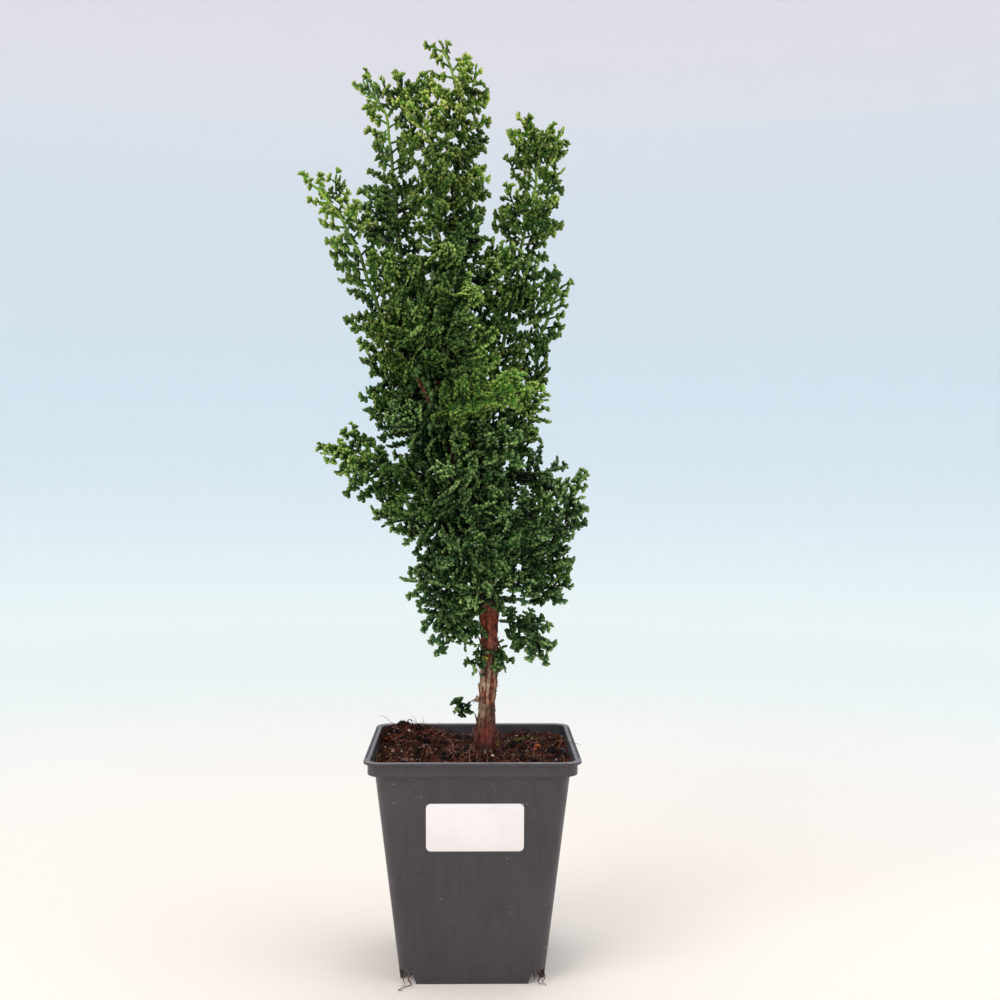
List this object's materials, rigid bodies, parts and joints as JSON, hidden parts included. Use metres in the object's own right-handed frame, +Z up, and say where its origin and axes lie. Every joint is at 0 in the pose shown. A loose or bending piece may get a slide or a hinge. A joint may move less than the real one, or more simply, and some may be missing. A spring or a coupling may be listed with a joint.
{
  "type": "hinoki cypress bonsai",
  "caption": "Young hinoki cypress with lobed scale-leaf sprays on upright leaders, growing in a square dark plastic nursery pot with a blank label.",
  "frame": {"origin": "on the surface that the pot stands on, under the middle of the whole outline, pot and crown together", "axes": "+Z up along the trunk, -Y towards the front of the pot with its label, +X to the right seen from the front"},
  "size_m": [0.1234, 0.0934, 0.407],
  "materials": {
    "pot_plastic": "satin",
    "label_paper": "matte",
    "peat": "matte",
    "bark": "matte",
    "leaf_light": "satin",
    "leaf_mid": "satin",
    "leaf_dark": "satin"
  },
  "bodies": {
    "root": {"pot": "pot_plastic", "soil": "peat", "label": "label_paper", "trunk": "bark", "leader_top": "leaf_light", "leader_left": "leaf_light", "leader_left_fork": "leaf_light", "leader_far_left": "leaf_light", "leader_right": "leaf_light", "branch_front": "leaf_light", "leader_far_right": "leaf_mid", "branch_left": "leaf_mid", "sprout_trunk_left": "leaf_mid", "sprout_trunk_right": "leaf_mid", "sprout_base": "leaf_mid", "bush_16": "leaf_mid", "bush_17": "leaf_mid", "bush_18": "leaf_mid", "bush_19": "leaf_mid", "bush_20": "leaf_mid", "bush_21": "leaf_mid", "bush_22": "leaf_mid", "bush_23": "leaf_mid", "bush_24": "leaf_mid", "bush_25": "leaf_mid", "bush_26": "leaf_mid", "bush_27": "leaf_mid", "bush_28": "leaf_mid", "bush_29": "leaf_mid", "bush_30": "leaf_mid", "bush_31": "leaf_mid", "branch_right": "leaf_dark", "branch_low_left": "leaf_dark", "branch_drooping": "leaf_dark", "branch_low_right": "leaf_dark", "bush_01": "leaf_dark", "bush_02": "leaf_dark", "bush_03": "leaf_dark", "bush_04": "leaf_dark", "bush_05": "leaf_dark", "bush_06": "leaf_dark", "bush_07": "leaf_dark", "bush_08": "leaf_dark", "bush_09": "leaf_dark", "bush_10": "leaf_dark", "bush_11": "leaf_dark", "bush_12": "leaf_dark", "bush_13": "leaf_dark", "bush_14": "leaf_dark", "bush_15": "leaf_dark"}
  },
  "joints": []
}
